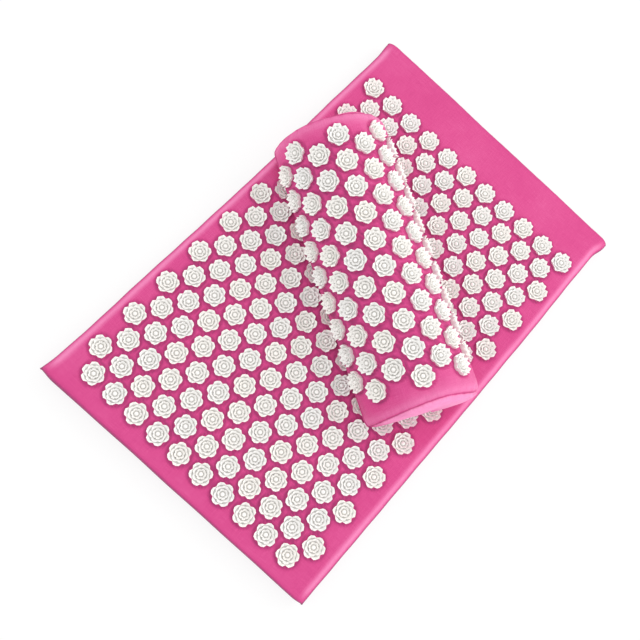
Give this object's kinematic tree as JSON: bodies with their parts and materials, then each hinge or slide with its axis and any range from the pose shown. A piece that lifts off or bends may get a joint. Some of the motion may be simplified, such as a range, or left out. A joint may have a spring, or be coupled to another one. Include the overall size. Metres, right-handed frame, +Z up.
{
  "type": "acupressure mat",
  "caption": "Flat foam mat in a zipped cotton cover with staggered rows of plastic pressure rosettes, and a studded half-moon neck pillow lying across it.",
  "frame": {"origin": "middle of the mat's underside, on the surface it lies on", "axes": "+X along the mat towards its wide bare band and zip, +Y across the mat, +Z up through the rosettes"},
  "size_m": [0.6587, 0.4236, 0.1121],
  "materials": {
    "pink_cotton": "matt woven cotton",
    "white_plastic": "moulded plastic with a soft sheen",
    "deep_pink_tape": "matt woven tape with moulded teeth",
    "foam": "soft open-cell foam",
    "nickel": "bright nickel plate"
  },
  "bodies": {
    "mat": {"mat_top_panel": "pink_cotton", "mat_back_panel": "pink_cotton", "mat_foam_core": "foam", "mat_zip_upper_tape": "deep_pink_tape", "mat_zip_lower_tape": "deep_pink_tape", "mat_zip_upper_top_stop": "nickel", "mat_zip_lower_top_stop": "nickel", "mat_zip_bottom_stop": "nickel"},
    "mat_zip_slider": {"mat_zip_slider": "nickel"},
    "mat_zip_pull": {"mat_zip_pull": "nickel"},
    "pillow": {"pillow_top_panel": "pink_cotton", "pillow_base_panel": "pink_cotton", "pillow_near_end_panel": "pink_cotton", "pillow_far_end_panel": "pink_cotton", "pillow_core": "foam", "pillow_zip_upper_tape": "deep_pink_tape", "pillow_zip_lower_tape": "deep_pink_tape", "pillow_zip_upper_top_stop": "nickel", "pillow_zip_lower_top_stop": "nickel", "pillow_zip_bottom_stop": "nickel"},
    "pillow_zip_slider": {"pillow_zip_slider": "nickel"},
    "pillow_zip_pull": {"pillow_zip_pull": "nickel"}
  },
  "joints": [
    {"name": "pillow_lift", "type": "slide", "parent": "mat", "child": "pillow", "axis": [0, 0, 1], "range_m": [0, 0.3]},
    {"name": "mat_zip_slide", "type": "slide", "parent": "mat", "child": "mat_zip_slider", "axis": [0, 1, 0], "range_m": [0, 0.292], "deforming": ["mat_zip_upper_tape", "mat_zip_lower_tape"]},
    {"name": "mat_zip_pull_turn", "type": "hinge", "parent": "mat_zip_slider", "child": "mat_zip_pull", "pos_m": [0.32861, -0.1488, 0.0125], "axis": [0, 0, -1], "range_deg": [0, 175]},
    {"name": "pillow_zip_slide", "type": "slide", "parent": "pillow", "child": "pillow_zip_slider", "axis": [0.4818, 0.8763, 0], "range_m": [0, 0.19], "deforming": ["pillow_zip_upper_tape", "pillow_zip_lower_tape"]},
    {"name": "pillow_zip_pull_turn", "type": "hinge", "parent": "pillow_zip_slider", "child": "pillow_zip_pull", "pos_m": [0.07074, -0.11942, 0.0388], "axis": [0, 0, -1], "range_deg": [0, 175]}
  ]
}
